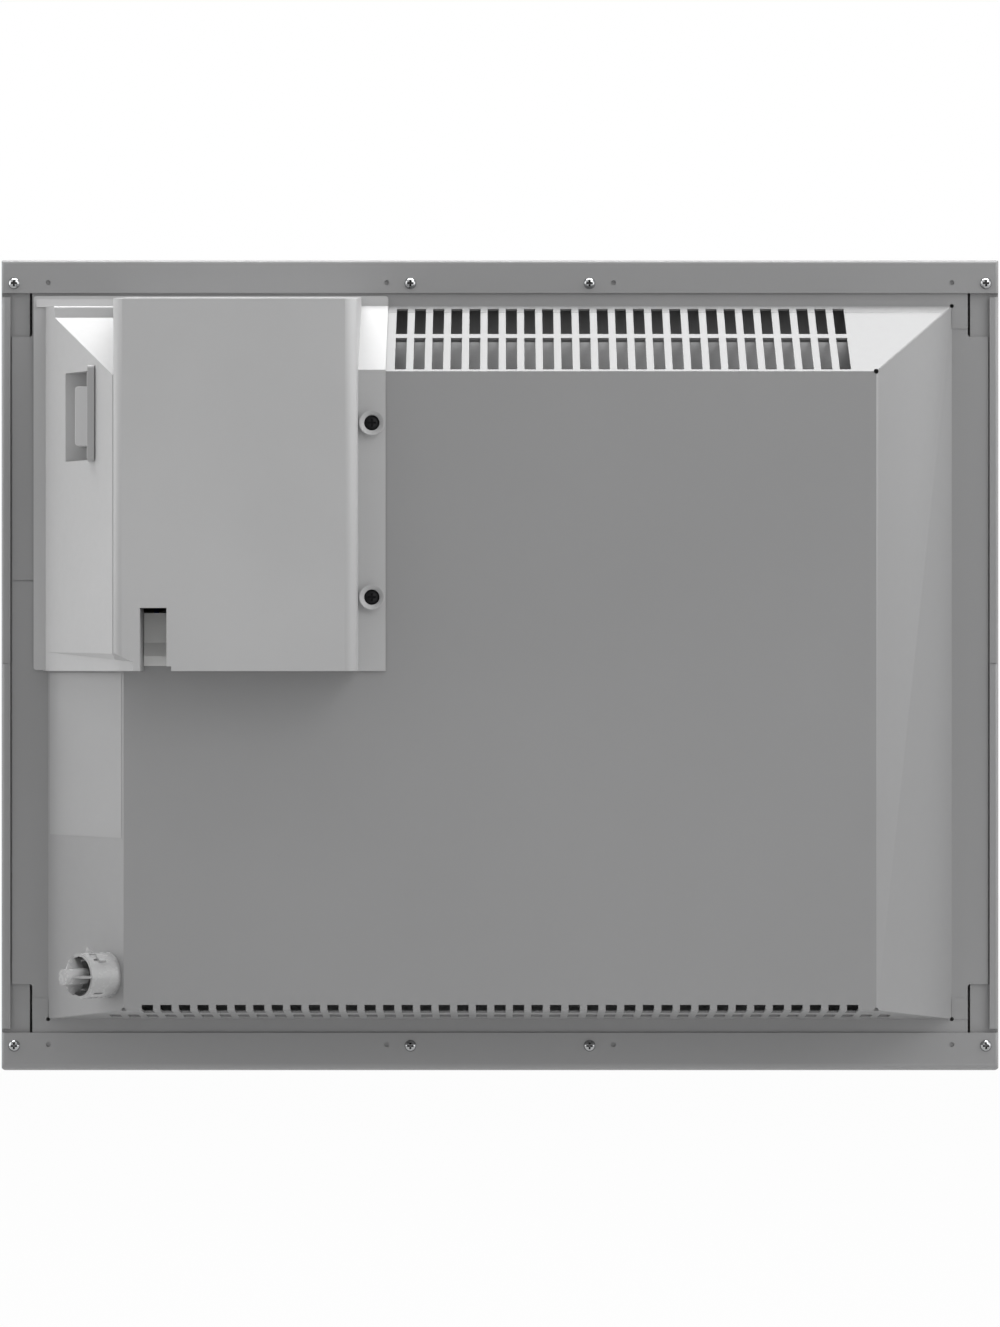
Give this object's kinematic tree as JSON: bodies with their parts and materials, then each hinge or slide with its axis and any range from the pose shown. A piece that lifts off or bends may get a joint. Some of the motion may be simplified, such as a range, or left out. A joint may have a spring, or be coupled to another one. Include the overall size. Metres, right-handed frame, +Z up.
{
  "type": "electric panel heater",
  "caption": "Wall-hung electric panel heater with a folded steel front, slotted tray casing, rear control box with rocker switch, finned element and room sensor cage.",
  "frame": {"origin": "middle of the flat back of the rear casing, halfway across and halfway up the body", "axes": "+X across towards the control box, +Y from the room towards the wall, +Z up"},
  "size_m": [0.44, 0.0766, 0.3576],
  "materials": {
    "front_paint": "satin",
    "casing_paint": "satin",
    "cover_plastic": "satin",
    "inner_plastic": "matte",
    "bright_steel": "polished",
    "black_screws": "satin",
    "plated_steel": "satin",
    "circuit_board": "satin",
    "relay_case": "satin",
    "module_case": "satin",
    "film_case": "satin",
    "capacitor_sleeve": "satin",
    "fuse_body": "satin",
    "shield_can": "satin",
    "terminal_plastic": "matte",
    "bush_rubber": "matte",
    "switch_frame": "satin",
    "rocker_plastic": "satin",
    "terminal_brass": "satin",
    "cage_plastic": "satin",
    "sensor_bead": "satin",
    "lead_grey": "matte",
    "lead_brown": "matte",
    "lead_blue": "matte",
    "lead_earth": "matte",
    "element_aluminium": "matte",
    "rod_steel": "satin",
    "insulator_ceramic": "matte",
    "cutout_case": "matte",
    "label_film": "satin"
  },
  "bodies": {
    "heater": {"front_panel": "front_paint", "rear_casing": "casing_paint", "casing_screws": "bright_steel", "control_box_cover": "cover_plastic", "control_box_base": "inner_plastic", "box_screws": "black_screws", "control_board": "circuit_board", "board_screws": "plated_steel", "power_relay": "relay_case", "power_module": "module_case", "film_capacitor": "film_case", "smoothing_capacitor": "capacitor_sleeve", "fuse": "fuse_body", "wireless_module": "shield_can", "terminal_block": "terminal_plastic", "cord_bush": "bush_rubber", "cord_clamp": "plated_steel", "clamp_screws": "plated_steel", "switch_housing": "switch_frame", "switch_terminals": "terminal_brass", "sensor_cage": "cage_plastic", "room_sensor": "sensor_bead", "sensor_lead": "lead_grey", "heating_element": "element_aluminium", "element_rod": "rod_steel", "rod_insulators": "insulator_ceramic", "element_bracket_left": "plated_steel", "element_bracket_right": "plated_steel", "heat_shield": "plated_steel", "thermal_cutout": "cutout_case", "cutout_rivets": "plated_steel", "live_lead": "lead_brown", "neutral_lead": "lead_blue", "link_lead": "lead_blue", "earth_lead": "lead_earth", "earth_screw": "terminal_brass", "rating_label": "label_film"},
    "rocker": {"power_rocker": "rocker_plastic"}
  },
  "joints": [
    {"name": "rocker_tilt", "type": "hinge", "parent": "heater", "child": "rocker", "pos_m": [0.172, -0.02, 0.1083], "axis": [0, 1, 0], "range_deg": [-6, 6]}
  ]
}
